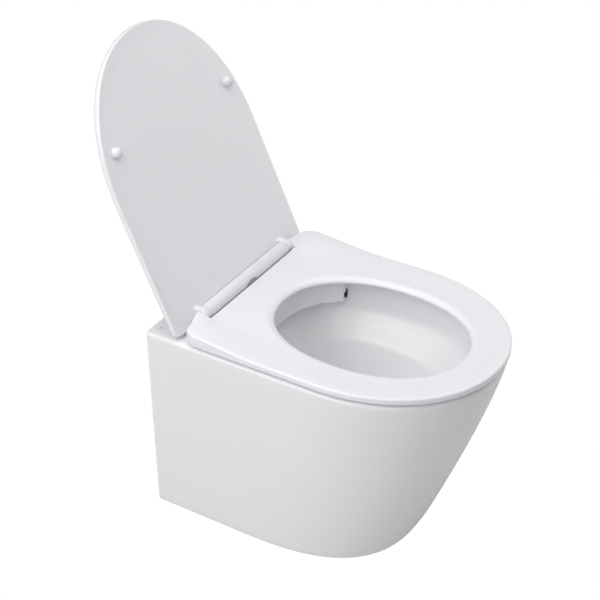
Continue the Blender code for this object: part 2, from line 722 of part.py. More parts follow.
def make_hinge_ends(finishes):
    """Collars, dampers and pins at the barrel's ends."""
    for side, sign in SIDES:
        place = (sign * COLLAR_START, AXIS_Y, AXIS_Z)
        bore, rim = PIN_RADIUS + GAP, BARREL_RADIUS - 0.0004
        soft = 0.0006
        profile = [(bore, 0), (rim, 0), (rim, COLLAR_WIDTH - soft), (rim - soft, COLLAR_WIDTH),
                   (bore, COLLAR_WIDTH)]
        collar = tube("collar", profile, place, (sign, 0, 0), 24)
        add_object("barrel_collar_" + side, collar, finishes["hinge_plastic"])
        damper = rod("damper", DAMPER_RADIUS, (sign * (DAMPER_START + GAP), AXIS_Y, AXIS_Z),
                     (sign * DAMPER_END, AXIS_Y, AXIS_Z), 16)
        add_object("soft_close_damper_" + side, damper, finishes["damper_plastic"])
        pin = rod("pin", PIN_RADIUS, (sign * PIN_START, AXIS_Y, AXIS_Z),
                  (sign * PIN_END, AXIS_Y, AXIS_Z), 12)
        add_object("hinge_pin_" + side, pin, finishes["steel"])


def make_release(finishes):
    """The half-moon button, its spring and the two latch bars."""
    rings = []
    for inset, y in ((0.0008, BUTTON_FACE), (0.0, BUTTON_FACE + 0.0008), (0.0, BUTTON_BACK)):
        outline = half_moon(BUTTON_HALF - inset, BUTTON_FLOOR + inset, BUTTON_HEIGHT - 2 * inset)
        rings.append([(x, y, z) for x, z in outline])
    button = add_object("release_button", loft("button", rings), finishes["button_plastic"])
    put_origin(button, (0, BUTTON_FACE, AXIS_Z - 0.002))

    coil, wire = 0.0016, 0.0003
    turns, per_turn = 4, 8
    length = POCKET_BACK - BUTTON_BACK - 2 * GAP - 2 * wire
    points = []
    for k in range(turns * per_turn + 1):
        a = 2 * math.pi * k / per_turn
        y = BUTTON_BACK + GAP + wire + length * k / (turns * per_turn)
        points.append(Vector((coil * math.cos(a), y, AXIS_Z - 0.002 + coil * math.sin(a))))
    rings = []
    for k, centre in enumerate(points):
        outward = Vector((centre.x, 0, centre.z - AXIS_Z + 0.002)).normalized()
        along = Vector((0, 1, 0))
        turn = [2 * math.pi * i / 5 for i in range(5)]
        rings.append([centre + wire * (math.cos(a) * outward + math.sin(a) * along) for a in turn])
    add_object("button_spring", loft("spring", rings), finishes["steel"])

    for side, sign in SIDES:
        tip = POST_X - POST_NECK - GAP
        bar = rod("latch", LATCH_RADIUS, (sign * LATCH_START, AXIS_Y, AXIS_Z),
                  (sign * tip, AXIS_Y, AXIS_Z), 10)
        add_object("latch_bar_" + side, bar, finishes["damper_plastic"])


# ---- seat fixings -------------------------------------------------------------------------

def make_posts(finishes):
    """Headed posts through the deck, with rosettes, sleeves, washers and nuts."""
    under = DECK - WALL
    for side, sign in SIDES:
        foot = (sign * POST_X, AXIS_Y, 0)
        neck = AXIS_Z - 0.0028
        top = AXIS_Z + 0.0064
        head = AXIS_Z + 0.0028
        profile = [(POST_SHANK, under - 0.024), (POST_SHANK, DECK + 0.0005),
                   (POST_HEAD, DECK + 0.0010), (POST_HEAD, neck),
                   (POST_NECK, neck + 0.0002), (POST_NECK, head), (POST_HEAD, head + 0.0002),
                   (POST_HEAD, top - 0.0012), (POST_HEAD - 0.0014, top)]
        add_object("hinge_post_" + side, turned("post", profile, foot, sides=16), finishes["steel"])
        pieces = (
            ("post_rosette_", "steel", POST_HEAD + GAP, 0.0088, DECK + GAP, DECK + 0.0033, 20),
            ("post_sleeve_", "sleeve_rubber", POST_SHANK + GAP, 0.0067, under + GAP, DECK - GAP, 14),
            ("post_washer_", "sleeve_rubber", POST_SHANK + GAP, 0.0120, under - 0.0035, under - GAP, 18),
        )
        for name, finish, bore, rim, low, high, sides in pieces:
            soft = 0.0005
            profile = [(bore, low), (rim, low), (rim, high - soft), (rim - soft, high), (bore, high)]
            add_object(name + side, tube("sleeve", profile, foot, sides=sides), finishes[finish])
        nut = hex_nut("nut", POST_SHANK + GAP, 0.0065, 0.0067, (foot[0], foot[1], under - 0.0105))
        add_object("post_nut_" + side, nut, finishes["steel"])


# ---- wall fixings -------------------------------------------------------------------------

def make_wall_fixings(finishes):
    """Concealed clamps: an angle bracket on each stud, and a screw that is turned from the deck."""
    face, back = BRACKET_FACE, BRACKET_FACE - BRACKET_THICKNESS
    tab = DECK - WALL - 0.0130
    for side, sign in SIDES:
        plate = box("plate", (0.074, back, -0.016), (0.106, face, 0.016))
        arm = box("arm", (0.100, back, 0.004), (0.165, face, 0.030))
        riser = box("riser", (0.148, back, 0.026), (0.165, face, tab + BRACKET_THICKNESS))
        shelf = box("shelf", (0.148, CAP_Y - 0.008, tab), (0.165, face, tab + BRACKET_THICKNESS))
        bracket = add_object("wall_bracket_" + side, plate)
        combine(bracket, [arm, riser, shelf], "UNION")
        holes = [rod("stud_hole", STUD_RADIUS + GAP, (STUD_X, -0.02, 0), (STUD_X, 0.02, 0), 20),
                 rod("screw_hole", CLAMP_SHANK + GAP, (CAP_X, CAP_Y, tab - 0.01),
                     (CAP_X, CAP_Y, tab + 0.01), 16)]
        combine(bracket, holes, "DIFFERENCE")
        if sign < 0:
            bracket.data.transform(Matrix.Diagonal((-1, 1, 1, 1)))
            bracket.data.flip_normals()
        finish_mesh(bracket, finishes["zinc"])

        stud = turned("stud", [(0.0052, 0.0), (STUD_RADIUS, 0.0008), (STUD_RADIUS, 0.034)],
                      (sign * STUD_X, -0.0345, 0), (0, 1, 0), 20)
        add_object("wall_stud_" + side, stud, finishes["zinc"])
        nut = hex_nut("nut", STUD_RADIUS + GAP, 0.0093, 0.0100, (sign * STUD_X, back - GAP, 0), (0, -1, 0))
        add_object("stud_nut_" + side, nut, finishes["zinc"])

        head = tab + BRACKET_THICKNESS + GAP
        profile = [(CLAMP_SHANK, head - 0.022), (CLAMP_SHANK, head), (CLAMP_HEAD_RADIUS, head),
                   (CLAMP_HEAD_RADIUS, head + 0.0040), (0.0036, head + 0.0048)]
        screw = add_object("clamp_screw_" + side,
                           turned("screw", profile, (sign * CAP_X, CAP_Y, 0), sides=20))
        socket = turned("socket", [(0.0020, head + 0.0020), (0.0020, head + 0.01)],
                        (sign * CAP_X, CAP_Y, 0), sides=6)
        combine(screw, [socket], "DIFFERENCE")
        finish_mesh(screw, finishes["zinc"])
        put_origin(screw, (sign * CAP_X, CAP_Y, head))

        rim = CAP_HOLE - GAP
        cap = [(rim - 0.0019, DECK - 0.0060), (rim, DECK - 0.0055), (rim, DECK - 0.0016),
               (rim - 0.0005, DECK - 0.0011)]
        add_object("deck_cap_" + side, turned("cap", cap, (sign * CAP_X, CAP_Y, 0), sides=20),
                   finishes["bumper_rubber"])


# ---- assembly -----------------------------------------------------------------------------

def main():
    """Clear the scene and build every piece."""
    for old in list(bpy.data.objects):
        bpy.data.objects.remove(old)
    finishes = make_materials()
    make_pan(finishes["ceramic"])
    ring = make_seat_ring(finishes["seat_plastic"])
    make_ring_bumpers(finishes["bumper_rubber"], ring)
    lid = make_lid(finishes["seat_plastic"])
    make_lid_buffers(finishes["bumper_rubber"], lid)
    make_barrel(finishes["hinge_plastic"])
    make_hinge_ends(finishes)
    make_release(finishes)
    make_posts(finishes)
    make_wall_fixings(finishes)


main()
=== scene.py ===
"""Looks of the wall-hung toilet pan: glazed clay, moulded seat and hinge, soft studio light.

Metres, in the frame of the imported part: -Y to the user, +Z up, Y = 0 at the wall.
"""

import json
import math

import bmesh
import bpy
from mathutils import Matrix, Vector


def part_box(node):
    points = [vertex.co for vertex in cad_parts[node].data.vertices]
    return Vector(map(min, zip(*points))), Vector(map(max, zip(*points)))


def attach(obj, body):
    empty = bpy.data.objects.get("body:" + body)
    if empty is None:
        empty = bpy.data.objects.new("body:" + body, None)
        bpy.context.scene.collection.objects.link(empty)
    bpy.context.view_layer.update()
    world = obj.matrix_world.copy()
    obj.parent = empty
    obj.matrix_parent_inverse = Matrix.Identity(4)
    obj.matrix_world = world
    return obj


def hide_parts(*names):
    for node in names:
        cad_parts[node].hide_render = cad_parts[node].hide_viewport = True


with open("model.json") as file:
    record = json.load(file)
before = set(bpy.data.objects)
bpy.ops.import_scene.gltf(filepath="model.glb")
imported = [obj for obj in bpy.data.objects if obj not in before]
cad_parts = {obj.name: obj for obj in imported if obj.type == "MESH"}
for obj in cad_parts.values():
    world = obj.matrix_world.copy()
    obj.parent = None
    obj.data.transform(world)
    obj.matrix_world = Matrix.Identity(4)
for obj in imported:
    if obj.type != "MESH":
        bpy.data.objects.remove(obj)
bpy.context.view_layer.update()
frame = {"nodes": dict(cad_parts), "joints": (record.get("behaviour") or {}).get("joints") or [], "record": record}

# ---- sizes and places ---------------------------------------------------------------------

PAN_LOW, PAN_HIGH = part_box("pan")
RING_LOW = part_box("seat_ring")[0]
BARREL_LOW, BARREL_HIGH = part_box("hinge_barrel")
PIN_LOW, PIN_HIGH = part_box("hinge_pin_right")
COLLAR_LOW, COLLAR_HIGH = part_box("barrel_collar_right")

AXIS = next(Vector(j["pos_m"]) for j in frame["joints"] if j["name"] == "lid_hinge")
LID_ANGLE = -next(j["range_deg"][0] for j in frame["joints"] if j["name"] == "lid_hinge")

BOTTOM, DECK = PAN_LOW.z, PAN_HIGH.z
PAN_HEIGHT = DECK - BOTTOM
HALF_WIDTH = PAN_HIGH.x
FOOT_HALF_WIDTH = 0.170
PAN_FRONT, FOOT_FRONT = PAN_LOW.y, -0.384
STRAIGHT, FOOT_STRAIGHT = -0.289, -0.150
POWER, FOOT_POWER = 2.06, 2.75
BULGE = 1.18
WALL = 0.012
RIM_RADIUS = 0.007
FOOT_RADIUS = 0.010
BACK_CORNER = 0.0035              # rounding of the upright edges at the wall

# (depth below the deck, half width, rear, front) of the bowl's inside
BOWL_LEVELS = (
    (0.000, 0.1450, -0.0980, -0.4665),
    (0.008, 0.1440, -0.0990, -0.4655),
    (0.054, 0.1395, -0.1040, -0.4605),
    (0.060, 0.1375, -0.1062, -0.4580),
    (0.068, 0.1330, -0.1108, -0.4525),
    (0.085, 0.1215, -0.1218, -0.4340),
    (0.105, 0.1070, -0.1360, -0.4080),
    (0.150, 0.0850, -0.1500, -0.3600),
    (0.185, 0.0620, -0.1620, -0.3150),
    (0.215, 0.0330, -0.1780, -0.2640),
)
BOWL_CENTRE = -0.285
BOWL_POWER, BOWL_REAR_POWER = 2.25, 2.5
BOWL_EDGE = 0.005
DISTRIBUTOR_FACE = -0.180
DISTRIBUTOR_HALF, DISTRIBUTOR_REAR = 0.134, -0.127
DISTRIBUTOR_DROP = 0.0455
DISTRIBUTOR_POWER = 2.3
LEDGE_DROP = 0.054                # below the deck, where the ledge under the distributor ends
LIP_RADIUS = 0.0035
JET_DROP = 0.033
JET_HALF_WIDTH, JET_HALF_HEIGHT = 0.0036, 0.0056
SLOT_ANGLES = (58, 69, 81, 99, 111, 122)
WASTE_Z, INLET_Z = -0.100, 0.035
TRAP_BORE, TRAP_RADIUS, SPIGOT_RADIUS, INLET_BORE = 0.0265, 0.037, 0.051, 0.0275

RING_TOP, RING_BOTTOM = DECK + 0.0145, DECK + 0.004
RING_REAR, RING_FRONT = -0.064, RING_LOW.y
HOLE_REAR, HOLE_FRONT, HOLE_HALF = -0.116, -0.448, 0.127
LIP_REAR, LIP_FRONT, LIP_HALF = -0.134, -0.4390, 0.1150
HOLE_POWER = 2.15
RING_SWEEP, RING_DISH = 0.0085, 0.0028
SWEEP_START, SWEEP_REACH = 0.105, 0.060    # where the sweep rises beside the barrel, from X = 0 outward

GAP = 0.0003                      # running clearance at the hinge
BARREL_RADIUS = (BARREL_HIGH.y - BARREL_LOW.y) / 2
BARREL_HALF = BARREL_HIGH.x
PIN_RADIUS = (PIN_HIGH.y - PIN_LOW.y) / 2
LUG_START = COLLAR_HIGH.x + GAP
LUG_WIDTH = 0.0105
EAR_START = LUG_START + LUG_WIDTH + GAP
LUG_RADIUS = BARREL_RADIUS - 0.0006
EAR_RADIUS = 0.0078
NOTCH_FRONT = AXIS.y - BARREL_RADIUS - 0.0012
NOTCH_REAR = -0.03

LID_OFFSET, LID_THICKNESS = 0.0085, 0.0125
LID_REAR, LID_LENGTH = 0.0085, 0.4230
LID_HALF_WIDTH, LID_STRAIGHT = 0.1775, 0.2070
BUFFER_RADIUS, BUFFER_X, BUFFER_DISTANCE = 0.0080, 0.1440, 0.2775

POST_X = 0.0775
BUTTON_HALF, BUTTON_HEIGHT = 0.0170, 0.0085
BUTTON_FLOOR = AXIS.z - 0.0050
CAP_X, CAP_Y = 0.158, -0.0165
STUD_X = 0.090
SIDES = (("left", -1), ("right", 1))


# ---- mesh tools ---------------------------------------------------------------------------

def add_piece(name, mesh, sharp=40):
    """Link a mesh, shaded smooth except at edges sharper than so many degrees."""
    mesh.shade_smooth()
    mesh.set_sharp_from_angle(angle=math.radians(sharp))
    made = bpy.data.objects.new(name, mesh)
    bpy.context.scene.collection.objects.link(made)
    return made


def skin(name, rows, closed=False, caps=True):
    """Skin rows of points; every row is a loop. A closed skin joins its last row to its first."""
    count = len(rows[0])
    points = [tuple(p) for row in rows for p in row]
    faces = []
    for k in range(len(rows) if closed else len(rows) - 1):
        low, high = k * count, (k + 1) % len(rows) * count
        for i in range(count):
            j = (i + 1) % count
            faces.append((low + i, low + j, high + j, high + i))
    if caps and not closed:
        faces.append(tuple(reversed(range(count))))
        faces.append(tuple((len(rows) - 1) * count + i for i in range(count)))
    mesh = bpy.data.meshes.new(name)
    mesh.from_pydata(points, [], faces)
    shape = bmesh.new()
    shape.from_mesh(mesh)
    bmesh.ops.recalc_face_normals(shape, faces=shape.faces)
    shape.to_mesh(mesh)
    shape.free()
    return mesh


def joined(name, meshes):
    """Several separate closed meshes as one."""
    shape = bmesh.new()
    for mesh in meshes:
        shape.from_mesh(mesh)
    made = bpy.data.meshes.new(name)
    shape.to_mesh(made)
    shape.free()
    return made


def turned(name, profile, centre, axis=(0, 0, 1), sides=64, closed=False):
    """A solid of revolution from (radius, distance) pairs along the axis."""
    turn = Vector((0, 0, 1)).rotation_difference(Vector(axis).normalized()).to_matrix().to_4x4()
    place = Matrix.Translation(Vector(centre)) @ turn
    around = [2 * math.pi * i / sides for i in range(sides)]
    rows = [[place @ Vector((r * math.cos(a), r * math.sin(a), h)) for a in around] for r, h in profile]
    return skin(name, rows, closed)


def rod(name, radius, start, end, sides=48):
    """A plain cylinder between two points."""
    span = Vector(end) - Vector(start)
    return turned(name, [(radius, 0.0), (radius, span.length)], start, span, sides)


def block(name, low, high):
    """An upright block between two corners."""
    corners = ((low[0], low[1]), (high[0], low[1]), (high[0], high[1]), (low[0], high[1]))
    return skin(name, [[(x, y, z) for x, y in corners] for z in (low[2], high[2])])


def cut(target, meshes, operation="DIFFERENCE"):
    """Apply Booleans to a piece."""
    for mesh in meshes:
        tool = bpy.data.objects.new("tool", mesh)
        bpy.context.scene.collection.objects.link(tool)
        modifier = target.modifiers.new("cut", "BOOLEAN")
        modifier.operation = operation
        modifier.solver = "MANIFOLD"
        modifier.object = tool
        depsgraph = bpy.context.evaluated_depsgraph_get()
        target.data = bpy.data.meshes.new_from_object(target.evaluated_get(depsgraph))
        target.modifiers.clear()
        bpy.data.objects.remove(tool)


def solid(mesh, others, operation):
    """The mesh left by Booleans between closed meshes."""
    piece = add_piece("solid", mesh)
    cut(piece, others, operation)
    result = piece.data
    bpy.data.objects.remove(piece)
    return result


def quarter(radius, steps):
    """(inset, drop) pairs round a quarter-circle edge, from the side up to the top."""
    turn = [math.radians(90.0 * k / steps) for k in range(steps + 1)]
    return [(radius * (1 - math.cos(a)), radius * (1 - math.sin(a))) for a in turn]


def at_height(points, z):
    """Lift a plan outline to a height."""
    return [(x, y, z) for x, y in points]


def smooth_step(t):
    """0 to 1 with no slope at either end."""
    t = min(max(t, 0.0), 1.0)
    return t * t * (3 - 2 * t)


def soft_min(a, b, width):
    """The smaller of two values, with a round in place of the corner between them."""
    h = max(width - abs(a - b), 0.0) / width
    return min(a, b) - h * h * width / 4


def catmull(values, place):
    """A value on the smooth curve through a list; place counts its spans."""
    k = min(int(place), len(values) - 2)
    t = place - k
    a, b = values[max(k - 1, 0)], values[k]
    c, d = values[k + 1], values[min(k + 2, len(values) - 1)]
    return 0.5 * (2 * b + (c - a) * t + (2 * a - 5 * b + 4 * c - d) * t * t
                  + (3 * b - a - 3 * c + d) * t ** 3)


def oval_radius(angle, half, back, ahead, power):
    """Distance from the centre to a superellipse in one direction, with unequal back and front."""
    c, s = math.cos(angle), math.sin(angle)
    reach = back if s > 0 else ahead
    return (abs(c / half) ** power + abs(s / reach) ** power) ** (-1 / power)


# ---- D outlines ---------------------------------------------------------------------------

def spread(pieces):
    """Numbers from 0 to 1 whose spacing changes from stretch to stretch: (end, count) pairs."""
    values, start = [], 0.0
    for end, count in pieces:
        values += [start + (end - start) * k / count for k in range(count)]
        start = end
    return values


def d_outline(half, rear, straight, front, power, corner, side, back, arc=72, bend=6):
    """A D seen from above, anticlockwise from the right side's front end.

    side is a list of fractions along the right side, and back the number of steps across the rear.
    """
    low = rear - corner
    right = [(half, straight + (low - straight) * f) for f in side]
    bends = []
    for k in range(bend + 1):
        a = math.pi / 2 * k / bend
        bends.append((half - corner * (1 - math.cos(a)), rear - corner * (1 - math.sin(a))))
    across = [((half - corner) * (1 - 2 * k / back), rear) for k in range(1, back)]
    left = [(-x, y) for x, y in reversed(right + bends)]
    around = []
    for k in range(1, 2 * arc):
        a = math.pi * k / (2 * arc)
        x = -half * math.copysign(abs(math.cos(a)) ** (2 / power), math.cos(a))
        around.append((x, straight + (front - straight) * abs(math.sin(a)) ** (2 / power)))
    return right + bends + across + left + around


# ---- materials ----------------------------------------------------------------------------

def noise(nodes, links, scale, detail, coordinates):
    """A noise texture in object coordinates."""
    made = nodes.new("ShaderNodeTexNoise")
    made.inputs["Scale"].default_value = scale
    made.inputs["Detail"].default_value = detail
    links.new(coordinates, made.inputs["Vector"])
    return made


def ranged(nodes, links, source, low, high):
    """Map a 0 to 1 value on to a range."""
    made = nodes.new("ShaderNodeMapRange")
    made.inputs["From Min"].default_value = 0.3
    made.inputs["From Max"].default_value = 0.7
    made.inputs["To Min"].default_value = low
    made.inputs["To Max"].default_value = high
    links.new(source, made.inputs["Value"])
    return made.outputs["Result"]


def finish(name, colour, roughness, tint=0.03, cloud=9.0, grain=900.0, bump=0.02, metallic=0.0, coat=0.0):
    """A moulded, glazed or machined surface: faint colour clouds, uneven gloss and a fine grain."""
    made = bpy.data.materials.new(name)
    made.use_nodes = True
    nodes, links = made.node_tree.nodes, made.node_tree.links
    shader = nodes["Principled BSDF"]
    shader.inputs["Metallic"].default_value = metallic
    shader.inputs["Coat Weight"].default_value = coat
    shader.inputs["Coat Roughness"].default_value = 0.10
    coordinates = nodes.new("ShaderNodeTexCoord").outputs["Object"]

    clouds = noise(nodes, links, cloud, 4.0, coordinates)
    blend = nodes.new("ShaderNodeMix")
    blend.data_type = "RGBA"
    blend.inputs["A"].default_value = (*[c * (1 - tint) for c in colour], 1.0)
    blend.inputs["B"].default_value = (*[min(c * (1 + tint), 1.0) for c in colour], 1.0)
    links.new(clouds.outputs["Fac"], blend.inputs["Factor"])
    links.new(blend.outputs["Result"], shader.inputs["Base Color"])

    patches = noise(nodes, links, cloud * 3, 2.0, coordinates)
    uneven = ranged(nodes, links, patches.outputs["Fac"], roughness * 0.96, roughness * 1.04)
    links.new(uneven, shader.inputs["Roughness"])

    fine = noise(nodes, links, grain, 3.0, coordinates)
    relief = nodes.new("ShaderNodeBump")
    relief.inputs["Strength"].default_value = bump
    relief.inputs["Distance"].default_value = 0.0004
    links.new(fine.outputs["Fac"], relief.inputs["Height"])
    links.new(relief.outputs["Normal"], shader.inputs["Normal"])
    return made


def make_finishes():
    """Every material, by its slot name."""
    return {
        "ceramic": finish("glazed_clay", (0.86, 0.86, 0.875), 0.24, 0.012, 7.0, 260.0, 0.05, coat=0.25),
        # near-black unglazed clay for the flush channel's walls: painted shade of the channel's dark inside
        "painted_shade_clay": finish("channel_painted_shade_clay", (0.050, 0.049, 0.047), 0.75, 0.06, 40.0, 900.0, 0.15),
        "seat_plastic": finish("seat_thermoset", (0.87, 0.87, 0.895), 0.20, 0.010, 11.0, 700.0, 0.04,
                               coat=0.25),
        "hinge_plastic": finish("hinge_moulding", (0.82, 0.82, 0.865), 0.30, 0.006, 30.0, 1500.0, 0.05),
        "button_plastic": finish("button_moulding", (0.36, 0.36, 0.41), 0.28, 0.03, 60.0, 1800.0, 0.10),
        "bumper_rubber": finish("soft_white_rubber", (0.84, 0.84, 0.86), 0.55, 0.02, 60.0, 2200.0, 0.25),
        "sleeve_rubber": finish("black_rubber", (0.035, 0.035, 0.038), 0.70, 0.15, 60.0, 2200.0, 0.35),
        "steel": finish("satin_steel", (0.62, 0.62, 0.63), 0.26, 0.05, 40.0, 2500.0, 0.12, metallic=1.0),
        "zinc": finish("zinc_plate", (0.55, 0.56, 0.58), 0.40, 0.12, 90.0, 1200.0, 0.30, metallic=1.0),
        "damper_plastic": finish("dark_plastic", (0.09, 0.09, 0.10), 0.40, 0.06, 60.0, 1800.0, 0.15),
    }


def place(piece, body, slot, *nodes):
    """Give a piece its finish, its body and the CAD nodes that it stands for."""
    piece.data.materials.clear()
    piece.data.materials.append(FINISHES[slot])
    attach(piece, body)
    if nodes:
        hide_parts(*nodes)


# ---- pan ----------------------------------------------------------------------------------

def side_fractions():
    """Places along the pan's side, closest together where the distributor ends."""
    near = (DISTRIBUTOR_FACE - STRAIGHT) / -STRAIGHT
    reach = 0.16
    return spread(((near - reach, 22), (near + reach, 56), (1.0, 18)))


def pan_plan(height, inset=0.0, rear=0.0, corner=BACK_CORNER):
    """The pan's outline at a height above its foot."""
    t = height / PAN_HEIGHT
    lean = 1 - (1 - min(max(t, 0.0), 1.0)) ** BULGE
    half = FOOT_HALF_WIDTH + (HALF_WIDTH - FOOT_HALF_WIDTH) * t
    straight = FOOT_STRAIGHT + (STRAIGHT - FOOT_STRAIGHT) * t
    front = FOOT_FRONT + (PAN_FRONT - FOOT_FRONT) * lean
    power = FOOT_POWER + (POWER - FOOT_POWER) * t
    return d_outline(half - inset, rear, straight, front + inset, power, corner, side_fractions(), 80)


def bowl_point(angle, level, radius):
    """A point at a distance from the bowl's axis at one level."""
    centre = max(BOWL_CENTRE, (level[2] + level[3]) / 2)
    return Vector((radius * math.cos(angle), centre + radius * math.sin(angle), DECK - level[0]))


def bowl_radius(angle, level, grow=0.0):
    """The bowl wall's distance from its axis at one level."""
    _, half, rear, front = level
    centre = max(BOWL_CENTRE, (rear + front) / 2)
    power = BOWL_REAR_POWER if math.sin(angle) > 0 else BOWL_POWER
    return oval_radius(angle, half + grow, rear + grow - centre, centre - front + grow, power)


def level_at(depth):
    """The bowl's level at a depth, smooth between those that are given."""
    k = max(i for i, level in enumerate(BOWL_LEVELS[:-1]) if level[0] <= depth + 1e-9)
    place = k + (depth - BOWL_LEVELS[k][0]) / (BOWL_LEVELS[k + 1][0] - BOWL_LEVELS[k][0])
    vectors = [Vector(level[1:]) for level in BOWL_LEVELS]
    return (depth, *catmull(vectors, place))


def distributor_front(angle):
    """The distributor's front face, from the bowl's axis."""
    return oval_radius(angle, DISTRIBUTOR_HALF, DISTRIBUTOR_REAR - BOWL_CENTRE, 1.0, DISTRIBUTOR_POWER)


def distributor_radius(angle):
    """The distributor's front face and its two end faces, from the bowl's axis."""
    wall = bowl_radius(angle, BOWL_LEVELS[1])
    if math.sin(angle) < 0.3:
        return wall
    front = distributor_front(angle)
    end = (DISTRIBUTOR_FACE - BOWL_CENTRE) / math.sin(angle)
    return soft_min(-soft_min(-front, -end, 0.0025), wall, 0.0015)


def bowl_rows(angles):
    """The inside of the pan, from the rounded edge of the deck down to the sump."""
    inner = [distributor_radius(a) for a in angles]
    rows = []
    for inset, drop in reversed(quarter(BOWL_EDGE, 6)):
        level = level_at(drop)
        rows.append([bowl_point(a, level, r + inset) for a, r in zip(angles, inner)])
    plain = DISTRIBUTOR_DROP - LIP_RADIUS
    for k in range(1, 9):
        level = level_at(BOWL_EDGE + (plain - BOWL_EDGE) * k / 8)
        rows.append([bowl_point(a, level, min(r, bowl_radius(a, level))) for a, r in zip(angles, inner)])
    for inset, drop in quarter(LIP_RADIUS, 5)[1:]:
        level = level_at(DISTRIBUTOR_DROP - drop)
        rows.append([bowl_point(a, level, min(r + inset, bowl_radius(a, level)))
                     for a, r in zip(angles, inner)])
    for k in range(1, 5):
        level = level_at(DISTRIBUTOR_DROP + (LEDGE_DROP - DISTRIBUTOR_DROP) * k / 4)
        row = []
        for a, r in zip(angles, inner):
            wall = bowl_radius(a, level)
            row.append(bowl_point(a, level, wall + (min(r + LIP_RADIUS, wall) - wall) * (1 - k / 4)))
        rows.append(row)
    depths = spread(((0.4, 14), (1.0, 22)))[1:] + [1.0]
    for f in depths:
        level = level_at(LEDGE_DROP + (BOWL_LEVELS[-1][0] - LEDGE_DROP) * f)
        rows.append([bowl_point(a, level, bowl_radius(a, level)) for a in angles])
    for shrink in (0.8, 0.5, 0.2):
        rows.append([bowl_point(a, BOWL_LEVELS[-1], shrink * bowl_radius(a, BOWL_LEVELS[-1]))
                     - Vector((0, 0, 0.002 * (1 - shrink))) for a in angles])
    return rows


def pan_solid():
    """The pan with no hollow behind: foot, sides, rim, deck and bowl."""
    rows = [at_height(pan_plan(0.0, FOOT_RADIUS + extra), BOTTOM) for extra in (0.06, 0.03)]
    for inset, drop in reversed(quarter(FOOT_RADIUS, 7)):
        rows.append(at_height(pan_plan(drop, inset), BOTTOM + drop))
    low, high = FOOT_RADIUS, PAN_HEIGHT - RIM_RADIUS
    for k in range(1, 24):
        height = low + (high - low) * k / 24
        rows.append(at_height(pan_plan(height), BOTTOM + height))
    for inset, drop in quarter(RIM_RADIUS, 7):
        rows.append(at_height(pan_plan(PAN_HEIGHT - drop, inset), DECK - drop))
    rim = rows[-1]
    angles = [math.atan2(y - BOWL_CENTRE, x) for x, y, _ in rim]
    inside = bowl_rows(angles)
    for k in range(1, 5):
        rows.append([Vector(a).lerp(Vector(b), k / 5) for a, b in zip(rim, inside[0])])
    return skin("pan_glaze", rows + inside)


def route(points, steps, radius, sides=40):
    """A tube along the smooth curve through points in the plane X = 0."""
    spans = len(points) - 1
    centres = [catmull(points, spans * k / steps) for k in range(steps + 1)]
    rows = []
    for k, centre in enumerate(centres):
        ahead = (centres[min(k + 1, steps)] - centres[max(k - 1, 0)]).normalized()
        across = Vector((1, 0, 0))
        up = ahead.cross(across)
        around = [2 * math.pi * i / sides for i in range(sides)]
        rows.append([centre + radius * (math.cos(a) * across + math.sin(a) * up) for a in around])
    return skin("route", rows)


def trap(radius, end):
    """The waterway from the sump, under and over the seal, to the wall."""
    points = [Vector((0, y, z)) for y, z in (
        (-0.222, DECK - 0.200), (-0.206, DECK - 0.258), (-0.150, DECK - 0.276), (-0.112, DECK - 0.216),
        (-0.080, DECK - 0.188), (-0.030, WASTE_Z), (end, WASTE_Z))]
    return route(points, 48, radius)


def bowl_outside():
    """The unglazed back of the bowl, seen from behind the pan."""
    around = [2 * math.pi * k / 120 for k in range(120)]
    rows = []
    for k in range(25):
        level = level_at(0.006 + (BOWL_LEVELS[-1][0] - 0.006) * k / 24)
        rows.append([bowl_point(a, level, bowl_radius(a, level) + WALL) for a in around])
    foot = [Vector((p.x * 0.8, -0.221 + (p.y + 0.221) * 0.8, p.z - WALL)) for p in rows[-1]]
    return skin("bowl_outside", rows + [foot])


def pan_air():
    """The open space behind the skin, left by the bowl, the trap and the two spigots."""
    rows = []
    for k in range(13):
        height = WALL + (PAN_HEIGHT - 2 * WALL) * k / 12
        rows.append(at_height(pan_plan(height, WALL, 0.01, 0.001), BOTTOM + height))
    bridge = block("bridge", (-0.045, -0.016, WASTE_Z), (0.045, 0.02, INLET_Z))
    spigot = rod("spigot", SPIGOT_RADIUS, (0, -0.070, WASTE_Z), (0, 0.02, WASTE_Z), 72)
    inlet = rod("inlet", TRAP_RADIUS, (0, -0.090, INLET_Z), (0, 0.02, INLET_Z), 72)
    works = [bowl_outside(), trap(TRAP_RADIUS, -0.010), spigot, bridge, inlet]
    return solid(skin("air", rows), works, "DIFFERENCE")


def distributor_point(angle):
    """A point in the middle of the distributor."""
    middle = (distributor_front(angle) + bowl_radius(angle, BOWL_LEVELS[1])) / 2
    return Vector((middle * math.cos(angle), BOWL_CENTRE + middle * math.sin(angle), DECK - JET_DROP))


def jet_channel(steps=40, sides=32):
    """The distributor's channel, flared a little where each end opens as a jet."""
    start = math.radians(38)
    angles = [start + (math.pi - 2 * start) * k / steps for k in range(steps + 1)]
    centres = [distributor_point(a) for a in angles]
    up = Vector((0, 0, 1))
    rows = []
    for k, centre in enumerate(centres):
        ahead = (centres[min(k + 1, steps)] - centres[max(k - 1, 0)]).normalized()
        across = up.cross(ahead)
        flare = 1 + 0.15 * smooth_step((DISTRIBUTOR_FACE + 0.004 - centre.y) / 0.006)
        around = [2 * math.pi * i / sides for i in range(sides)]
        wide, high = flare * JET_HALF_WIDTH, flare * JET_HALF_HEIGHT
        rows.append([centre + wide * math.cos(a) * across + high * math.sin(a) * up for a in around])
    return skin("channel", rows)


